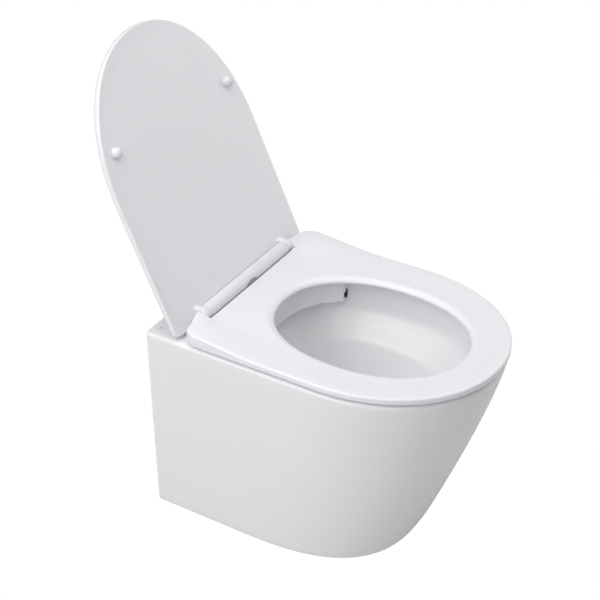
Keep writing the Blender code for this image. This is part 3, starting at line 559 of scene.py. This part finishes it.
def rinse_slots():
    """Cutters for the rinse slots, which notch the distributor's lower front edge."""
    slots = []
    for degrees in SLOT_ANGLES:
        a = math.radians(degrees)
        r = distributor_front(a) + 0.0025
        place = Vector((r * math.cos(a), BOWL_CENTRE + r * math.sin(a), DECK - DISTRIBUTOR_DROP))
        ahead = distributor_point(a + 0.01) - distributor_point(a - 0.01)
        tool = joined("slot", [block("mouth", (-0.0045, -0.0038, -0.004), (0.0045, 0.0030, 0.0034)),
                               block("riser", (-0.0045, -0.0060, 0.0030), (0.0045, -0.0010, 0.0085))])
        tool.transform(Matrix.Translation(place) @ Matrix.Rotation(math.atan2(ahead.y, ahead.x), 4, "Z"))
        slots.append(tool)
    return slots


def paint_channel_shade(pan):
    """Paint shade on the walls of the flush channel: unglazed clay, coloured near-black for the channel's dark
    inside.
    """
    pan.data.materials.append(FINISHES["painted_shade_clay"])
    reach = 1.3                       # of the channel's own half sizes, to take in its flared ends
    for face in pan.data.polygons:
        x, y, z = face.center
        if not DISTRIBUTOR_FACE - 0.003 <= y < DISTRIBUTOR_REAR + 0.03:
            continue
        middle = distributor_point(math.atan2(y - BOWL_CENTRE, x))
        away = math.hypot(x - middle.x, y - middle.y) / JET_HALF_WIDTH
        if math.hypot(away, (z - middle.z) / JET_HALF_HEIGHT) < reach:
            face.material_index = 1


def make_pan():
    """The glazed clay body."""
    pan = add_piece("pan_glaze", pan_solid())
    socket = rod("socket", INLET_BORE, (0, -0.055, INLET_Z), (0, 0.02, INLET_Z), 64)
    duct = rod("duct", 0.010, (0, -0.120, DECK - JET_DROP), (0, -0.040, INLET_Z + 0.008), 32)
    holes = rinse_slots()
    for _, s in SIDES:
        for name, radius, x, y in (("post_hole", 0.0070, s * POST_X, AXIS.y),
                                   ("cap_hole", 0.0052, s * CAP_X, CAP_Y)):
            holes.append(rod(name, radius, (x, y, DECK - 0.05), (x, y, DECK + 0.01)))
    cut(pan, [pan_air(), trap(TRAP_BORE, 0.012), socket, duct, jet_channel(), joined("holes", holes)])
    pan.data.shade_smooth()
    pan.data.set_sharp_from_angle(angle=math.radians(38))
    place(pan, "pan_body", "ceramic", "pan")
    # painted shade: near-black clay on the walls of the flush channel
    paint_channel_shade(pan)


# ---- seat ring ----------------------------------------------------------------------------

def ring_outer(inset):
    """The seat ring's outer outline, inset."""
    return d_outline(HALF_WIDTH - inset, RING_REAR - inset, STRAIGHT, RING_FRONT + inset, POWER,
                     0.026 - min(inset, 0.004), spread(((1.0, 40),)), 120, 80, 14)


def ring_inner(base, roll):
    """The seat opening in the direction of each base point; roll runs from the flat top to the lip."""
    half = HOLE_HALF + (LIP_HALF - HOLE_HALF) * roll
    rear = HOLE_REAR + (LIP_REAR - HOLE_REAR) * roll
    front = HOLE_FRONT + (LIP_FRONT - HOLE_FRONT) * roll
    points = []
    for x, y in base:
        a = math.atan2(y - BOWL_CENTRE, x)
        r = oval_radius(a, half, rear - BOWL_CENTRE, BOWL_CENTRE - front, HOLE_POWER)
        points.append((r * math.cos(a), BOWL_CENTRE + r * math.sin(a)))
    return points


def lift(x, y):
    """How far the ring's top sweeps up towards the hinge, mostly beside the barrel."""
    beside = smooth_step((abs(x) - SWEEP_START) / SWEEP_REACH)
    return (0.0015 + RING_SWEEP * beside) * smooth_step((y + 0.205) / 0.140)


def raised(points, z, amount=1.0):
    """Points at a height, plus so much of the ring's sweep."""
    return [(x, y, z + amount * lift(x, y)) for x, y in points]


def ring_plate():
    """The ring, rounded outside, swept up to the hinge and dished and rolled into the opening."""
    rows = []
    for inset, drop in reversed(quarter(0.0025, 5)):
        rows.append(at_height(ring_outer(inset), RING_BOTTOM + drop))
    for inset, drop in quarter(0.0032, 8):
        rows.append(raised(ring_outer(inset), RING_TOP - drop))
    base = ring_outer(0.0032)
    edge = ring_inner(base, 0.0)
    for k in range(1, 13):
        t = k / 13
        spots = [(a[0] + (b[0] - a[0]) * t, a[1] + (b[1] - a[1]) * t) for a, b in zip(base, edge)]
        rows.append(raised(spots, RING_TOP - RING_DISH * smooth_step(t)))
    top, middle = RING_TOP - RING_DISH, RING_BOTTOM + 0.0030 - RING_DISH
    for k in range(15):
        a = math.pi / 2 * k / 14
        rows.append(raised(ring_inner(base, math.sin(a)), middle + (top - middle) * math.cos(a), math.cos(a)))
    for roll, rise in ((0.985, 0.0022), (0.93, 0.0011), (0.84, 0.0003), (0.72, 0.0)):
        rows.append(at_height(ring_inner(base, roll), RING_BOTTOM - RING_DISH + rise))
    under = ring_inner(base, 0.72)
    outside = ring_outer(0.0025)
    for k in range(1, 5):
        t = k / 5
        spots = [(a[0] + (b[0] - a[0]) * t, a[1] + (b[1] - a[1]) * t) for a, b in zip(under, outside)]
        rows.append(at_height(spots, RING_BOTTOM - RING_DISH * max(0.0, 1 - 2.5 * t)))
    return skin("ring_plate", rows, closed=True)


def ear(sign):
    """A hinge ear: round over the pin, fading outward into the ring's swept-up rear edge."""
    rows = []
    nose, reach = EAR_RADIUS, 0.032
    for k in range(29):
        f = k / 28
        x = EAR_START + 0.046 * f
        rise = 1 - smooth_step(f)
        end = 1 - max(0.0, 1 - f / 0.02) * 0.03
        low = RING_BOTTOM + 0.003
        section = []
        for i in range(15):
            a = math.radians(-62 + 152 * i / 14)
            section.append((AXIS.y + nose * end * math.cos(a), AXIS.z + nose * end * math.sin(a)))
        for i in range(1, 15):
            t = i / 14
            y = AXIS.y - reach * t
            local = RING_TOP + lift(x, y) - 0.0006 * t
            section.append((y, local + (AXIS.z + nose * end - local) * (1 - smooth_step(t))))
        section += [(AXIS.y - reach, low), (AXIS.y, low)]
        row = []
        for y, z in section:
            inner_y = min(y, RING_REAR - 0.004)
            floor = RING_TOP + lift(x, inner_y) - 0.0006
            height = z if z < floor else floor + (z - floor) * rise
            row.append((sign * x, inner_y + (y - inner_y) * rise, height))
        rows.append(row)
    return skin("ear", rows)


def make_ring():
    """The seat ring with its notch and ears."""
    ring = add_piece("seat_ring_moulding", ring_plate())
    notch = block("notch", (-EAR_START, NOTCH_FRONT, RING_BOTTOM - 0.01),
                  (EAR_START, NOTCH_REAR, RING_TOP + 0.02))
    cut(ring, [notch])
    cut(ring, [ear(s) for _, s in SIDES], "UNION")
    bores = [rod("bore", PIN_RADIUS + GAP, (s * (EAR_START - 0.01), AXIS.y, AXIS.z),
                 (s * (PIN_HIGH.x + GAP), AXIS.y, AXIS.z)) for _, s in SIDES]
    cut(ring, [joined("bores", bores)])
    ring.data.shade_smooth()
    ring.data.set_sharp_from_angle(angle=math.radians(42))
    place(ring, "seat_ring_body", "seat_plastic", "seat_ring")


# ---- lid ----------------------------------------------------------------------------------

def open_lid():
    """Carries lid coordinates, in which -Y runs along the lid and +Z is out of its top, to the open lid."""
    return Matrix.Translation(AXIS) @ Matrix.Rotation(-math.radians(LID_ANGLE), 4, "X")


def lid_plan(inset):
    """The lid's outline in its own coordinates."""
    return d_outline(LID_HALF_WIDTH - inset, LID_REAR - inset, -LID_STRAIGHT, -LID_LENGTH + inset, POWER,
                     0.009 - min(inset, 0.005), spread(((1.0, 40),)), 60, 80, 12)


def lid_plate():
    """The lid with a softly rounded edge."""
    low, high = LID_OFFSET, LID_OFFSET + LID_THICKNESS
    rows = [at_height(lid_plan(0.03), low)]
    rows += [at_height(lid_plan(inset), low + drop) for inset, drop in reversed(quarter(0.0025, 6))]
    rows += [at_height(lid_plan(inset), high - drop) for inset, drop in quarter(0.0065, 12)]
    rows.append(at_height(lid_plan(0.03), high))
    return skin("lid_plate", rows)


def lug(sign):
    """A hinge lug, nearly as round as the barrel, with an arm that is level on top when the lid is open."""
    inner, outer = LUG_START, LUG_START + LUG_WIDTH
    lean = math.radians(LID_ANGLE - 90)
    rows = []
    for k in range(13):
        f = k / 12
        soft = 0.0009 * (1 - math.sqrt(max(0.0, 1 - max(0.0, abs(2 * f - 1) - 0.75) ** 2 * 16)))
        radius = LUG_RADIUS - soft
        start = math.pi + lean
        section = [(radius * math.cos(a), radius * math.sin(a))
                   for a in (start + (2 * math.pi - start) * i / 20 for i in range(21))]
        top = LID_OFFSET + 0.003
        run = (top - radius * math.sin(start)) / math.cos(lean)
        section.append((radius, top))
        section.append((radius * math.cos(start) - run * math.sin(lean), top))
        rows.append([(sign * (inner + (outer - inner) * f), y, z) for y, z in section])
    return skin("lug", rows)


def make_lid():
    """The lid with its lugs and the hollow that clears the barrel."""
    lid = add_piece("lid_moulding", lid_plate())
    half = LUG_START - 0.0002
    hollow = rod("hollow", BARREL_RADIUS + 0.0013, (-half, 0, 0), (half, 0, 0), 96)
    relief = block("relief", (-half, 0.0, 0.0), (half, LID_REAR + 0.01, LID_OFFSET + 0.0045))
    cut(lid, [hollow, relief])
    cut(lid, [lug(s) for _, s in SIDES], "UNION")
    bores = [rod("bore", PIN_RADIUS + GAP, (s * (LUG_START - 0.002), 0, 0),
                 (s * (LUG_START + LUG_WIDTH + 0.002), 0, 0)) for _, s in SIDES]
    cut(lid, [joined("bores", bores)])
    lid.data.shade_smooth()
    lid.data.set_sharp_from_angle(angle=math.radians(42))
    lid.matrix_world = open_lid()
    place(lid, "lid_body", "seat_plastic", "lid")


def make_buffers():
    """The two domed buffers, each on a thin flange."""
    height = LID_OFFSET + AXIS.z - RING_TOP - 0.0006
    r = BUFFER_RADIUS
    base = height - r * 0.72
    profile = [(r * 0.96, 0.0), (r, 0.0006), (r, 0.0014), (r * 0.95, 0.0020), (r * 0.95, base)]
    for k in range(1, 15):
        a = math.pi / 2 * k / 14.5
        profile.append((r * 0.95 * math.cos(a), base + r * 0.72 * math.sin(a)))
    for side, sign in SIDES:
        centre = (sign * BUFFER_X, -BUFFER_DISTANCE, LID_OFFSET - 0.0003)
        dome = add_piece("lid_buffer_moulding_" + side, turned("dome", profile, centre, (0, 0, -1), 72), 50)
        dome.matrix_world = open_lid()
        place(dome, "lid_body", "bumper_rubber", "lid_buffer_" + side)


# ---- hinge --------------------------------------------------------------------------------

def half_moon(grow, steps=40):
    """The button's outline in (x, z), grown all round: a half-moon with its flat side down."""
    arc = [math.pi * k / steps for k in range(steps + 1)]
    floor, height = BUTTON_FLOOR - grow, BUTTON_HEIGHT + 2 * grow
    return [((BUTTON_HALF + grow) * math.cos(a), floor + height * math.sin(a)) for a in arc]


def prism(name, layers):
    """Extrude (outline, y) layers along Y."""
    return skin(name, [[(x, y, z) for x, z in outline] for outline, y in layers])


def make_barrel():
    """The hinge barrel on its feet, with the button's pocket."""
    edge = [(BARREL_RADIUS - inset, drop) for inset, drop in reversed(quarter(0.0009, 4))]
    span = 2 * BARREL_HALF
    profile = edge + [(r, span - h) for r, h in reversed(edge)]
    body = turned("barrel", profile, (-BARREL_HALF, AXIS.y, AXIS.z), (1, 0, 0), 96)
    barrel = add_piece("barrel_moulding", body)
    feet = [rod("foot", 0.0068, (s * POST_X, AXIS.y, DECK + 0.0038), (s * POST_X, AXIS.y, AXIS.z))
            for _, s in SIDES]
    cut(barrel, feet, "UNION")
    front = AXIS.y - BARREL_RADIUS
    pocket = prism("pocket", ((half_moon(0.0008), front - 0.01), (half_moon(0.0008), front + 0.0010),
                              (half_moon(0.0004), front + 0.0016), (half_moon(0.0004), AXIS.y + 0.0015)))
    cuts = [pocket, rod("latch_way", 0.0028, (-POST_X, AXIS.y, AXIS.z), (POST_X, AXIS.y, AXIS.z))]
    for _, s in SIDES:
        cuts.append(rod("damper_bore", 0.0068, (s * 0.0865, AXIS.y, AXIS.z),
                        (s * (BARREL_HALF + 0.01), AXIS.y, AXIS.z)))
        cuts.append(rod("post_bore", 0.0043, (s * POST_X, AXIS.y, DECK - 0.01),
                        (s * POST_X, AXIS.y, AXIS.z + 0.0068)))
    cut(barrel, cuts)
    barrel.data.shade_smooth()
    barrel.data.set_sharp_from_angle(angle=math.radians(35))
    place(barrel, "pan_body", "hinge_plastic", "hinge_barrel")


def make_collars():
    """The thin collars that close the barrel's ends."""
    width = COLLAR_HIGH.x - COLLAR_LOW.x
    rim, bore, soft = BARREL_RADIUS - 0.0004, PIN_RADIUS + GAP, 0.0006
    profile = [(bore, 0.0), (rim, 0.0)]
    profile += [(rim - inset, width - drop) for inset, drop in quarter(soft, 4)]
    profile.append((bore, width))
    for side, sign in SIDES:
        mesh = turned("collar", profile, (sign * COLLAR_LOW.x, AXIS.y, AXIS.z), (sign, 0, 0), 96,
                      closed=True)
        collar = add_piece("collar_moulding_" + side, mesh)
        place(collar, "pan_body", "hinge_plastic", "barrel_collar_" + side)


def make_button():
    """The half-moon button, crowned and soft at its edge."""
    low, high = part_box("release_button")
    layers = []
    for inset, rise in ((0.0030, 0.0), (0.0014, 0.00025), (0.0005, 0.0008), (0.0, 0.0018)):
        layers.append((half_moon(-inset), low.y + rise))
    layers.append((half_moon(0.0), high.y))
    button = add_piece("button_moulding", prism("button", layers), 50)
    place(button, "button_body", "button_plastic", "release_button")


# ---- fixings ------------------------------------------------------------------------------

def threaded(name, radius, start, length, axis, pitch=0.00175, depth=0.0007, sides=48):
    """A rod with a real helical thread."""
    turn = Vector((0, 0, 1)).rotation_difference(Vector(axis).normalized()).to_matrix().to_4x4()
    to_world = Matrix.Translation(Vector(start)) @ turn
    steps = int(length / pitch * 10)
    rows = []
    for k in range(steps + 1):
        h = length * k / steps
        fade = min(1.0, (length - h) / 0.002, h / 0.001)
        row = []
        for i in range(sides):
            a = 2 * math.pi * i / sides
            phase = (h / pitch - i / sides) % 1.0
            r = radius - depth * fade * (1 - abs(2 * phase - 1)) - 0.0006 * max(0.0, 1 - h / 0.0012)
            row.append(to_world @ Vector((r * math.cos(a), r * math.sin(a), h)))
        rows.append(row)
    return skin(name, rows)


def nut(name, bore, flat, height, centre, axis, sides=72):
    """A hexagon nut with chamfered corners."""
    turn = Vector((0, 0, 1)).rotation_difference(Vector(axis).normalized()).to_matrix().to_4x4()
    to_world = Matrix.Translation(Vector(centre)) @ turn
    chamfer = flat * 0.08
    levels = ((bore + 0.0006, 0.0, False), (flat * 0.98, 0.0, True), (flat * 1.2, chamfer, True),
              (flat * 1.2, height - chamfer, True), (flat * 0.98, height, True),
              (bore + 0.0006, height, False),
              (bore, height - 0.0006, False), (bore, 0.0006, False))
    rows = []
    for limit, h, hexagon in levels:
        row = []
        for i in range(sides):
            a = 2 * math.pi * i / sides
            side = flat / math.cos(a % (math.pi / 3) - math.pi / 6)
            r = min(side, limit) if hexagon else limit
            row.append(to_world @ Vector((r * math.cos(a), r * math.sin(a), h)))
        rows.append(row)
    return skin(name, rows, closed=True)


def make_fixings():
    """Studs, nuts, rosettes and deck caps, with the threads and edges that the solids leave out."""
    for side, sign in SIDES:
        low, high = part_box("wall_stud_" + side)
        stud = threaded("stud", 0.0060, (sign * STUD_X, low.y, 0), high.y - low.y, (0, 1, 0))
        place(add_piece("stud_thread_" + side, stud, 30), "pan_body", "zinc", "wall_stud_" + side)
        low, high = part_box("stud_nut_" + side)
        made = nut("nut", 0.0063, 0.0093, high.y - low.y, (sign * STUD_X, high.y, 0), (0, -1, 0))
        place(add_piece("stud_nut_chamfered_" + side, made, 30), "pan_body", "zinc", "stud_nut_" + side)
        low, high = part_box("post_nut_" + side)
        made = nut("nut", 0.0038, 0.0065, high.z - low.z, (sign * POST_X, AXIS.y, low.z), (0, 0, 1))
        place(add_piece("post_nut_chamfered_" + side, made, 30), "pan_body", "steel", "post_nut_" + side)

        low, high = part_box("post_rosette_" + side)
        profile = [(0.0041, low.z), (0.0088, low.z)]
        profile += [(0.0088 - inset, high.z - drop) for inset, drop in quarter(0.0016, 6)]
        profile.append((0.0041, high.z))
        rosette = turned("rosette", profile, (sign * POST_X, AXIS.y, 0), sides=72, closed=True)
        place(add_piece("rosette_" + side, rosette), "pan_body", "steel", "post_rosette_" + side)

        low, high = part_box("deck_cap_" + side)
        rim = (high.x - low.x) / 2
        profile = [(rim - 0.0015, low.z), (rim, low.z + 0.0006)]
        profile += [(rim - inset, high.z + 0.0006 - drop) for inset, drop in quarter(0.0012, 6)]
        profile += [(0.0020, high.z + 0.0005), (0.0008, high.z + 0.0003)]
        cap = turned("cap", profile, (sign * CAP_X, CAP_Y, 0), sides=72)
        place(add_piece("cap_" + side, cap), "pan_body", "bumper_rubber", "deck_cap_" + side)


def finish_cad_nodes():
    """Better materials for the CAD nodes that stay."""
    slots = {row["node"]: row["material_slot"] for row in frame["record"]["subparts"]}
    for name, node in frame["nodes"].items():
        if not node.hide_render:
            node.data.materials.clear()
            node.data.materials.append(FINISHES[slots[name]])


# ---- stage --------------------------------------------------------------------------------

def make_floor():
    """A wide pale floor below the pan, which hangs clear of it.

    It shows white to the camera and throws back less light than it shows, like a lit backdrop.
    """
    size, drop = 40.0, 0.09
    mesh = skin("floor", [[(x, y, z) for x, y in ((-size, -size), (size, -size), (size, size), (-size, size))]
                          for z in (BOTTOM - drop - 0.02, BOTTOM - drop)])
    floor = add_piece("floor", mesh)
    pale = bpy.data.materials.new("pale_floor")
    pale.use_nodes = True
    nodes, links = pale.node_tree.nodes, pale.node_tree.links
    shader = nodes["Principled BSDF"]
    shader.inputs["Base Color"].default_value = (0.74, 0.74, 0.75, 1.0)
    shader.inputs["Roughness"].default_value = 0.9
    glow = nodes.new("ShaderNodeEmission")
    glow.inputs["Color"].default_value = (1.0, 1.0, 1.0, 1.0)
    seen = nodes.new("ShaderNodeLightPath").outputs["Is Camera Ray"]
    mix = nodes.new("ShaderNodeMixShader")
    links.new(seen, mix.inputs[0])
    links.new(shader.outputs[0], mix.inputs[1])
    links.new(glow.outputs[0], mix.inputs[2])
    links.new(mix.outputs[0], nodes["Material Output"].inputs["Surface"])
    mesh.materials.append(pale)


SURROUND = 0.22
# (name, place, width, watts) of each soft light; all point at the pan
LIGHTS = (
    ("overhead", (0.2, -0.2, 2.8), 3.2, 40.0),
    ("key", (-1.8, -0.3, 2.0), 3.0, 24.0),
    ("back", (-1.9, 0.7, 1.6), 2.4, 28.0),
    ("right", (2.8, -0.8, 1.2), 3.0, 8.0),
    ("low", (2.4, -1.6, 0.0), 2.4, 19.0),
)


def make_lights():
    """Even studio light: a bright surround and large soft lights."""
    world = bpy.data.worlds.new("surround")
    world.use_nodes = True
    world.node_tree.nodes["Background"].inputs["Color"].default_value = (0.975, 0.98, 1.0, 1.0)
    world.node_tree.nodes["Background"].inputs["Strength"].default_value = SURROUND
    bpy.context.scene.world = world
    aim = Vector((0.0, -0.25, 0.05))
    for name, place, width, watts in LIGHTS:
        data = bpy.data.lights.new(name, "AREA")
        data.size = width
        data.energy = watts
        light = bpy.data.objects.new(name, data)
        bpy.context.scene.collection.objects.link(light)
        light.location = place
        light.rotation_euler = (aim - Vector(place)).to_track_quat("-Z", "Y").to_euler()


def make_camera():
    """The camera, a little above and to the left of the pan's front."""
    azimuth, elevation, roll = math.radians(-59.4426), math.radians(32.8425), math.radians(0.623)
    back = Vector((math.sin(azimuth) * math.cos(elevation), -math.cos(azimuth) * math.cos(elevation),
                   math.sin(elevation)))
    right = Vector((math.cos(azimuth), math.sin(azimuth), 0.0))
    up = right.cross(-back)
    across = math.cos(roll) * right + math.sin(roll) * up
    upright = -math.sin(roll) * right + math.cos(roll) * up
    data = bpy.data.cameras.new("camera")
    data.lens = 88.47
    data.sensor_width = 36.0
    data.shift_x = 0.00016
    data.shift_y = 0.0014
    camera = bpy.data.objects.new("camera", data)
    bpy.context.scene.collection.objects.link(camera)
    turn = Matrix((across, upright, back)).transposed().to_4x4()
    camera.matrix_world = Matrix.Translation((-1.631989, -1.124409, 1.330911)) @ turn
    bpy.context.scene.camera = camera


FINISHES = make_finishes()
make_camera()
make_pan()
make_ring()
make_lid()
make_buffers()
make_barrel()
make_collars()
make_button()
make_fixings()
finish_cad_nodes()
make_floor()
make_lights()
bpy.context.scene.view_settings.view_transform = "Standard"
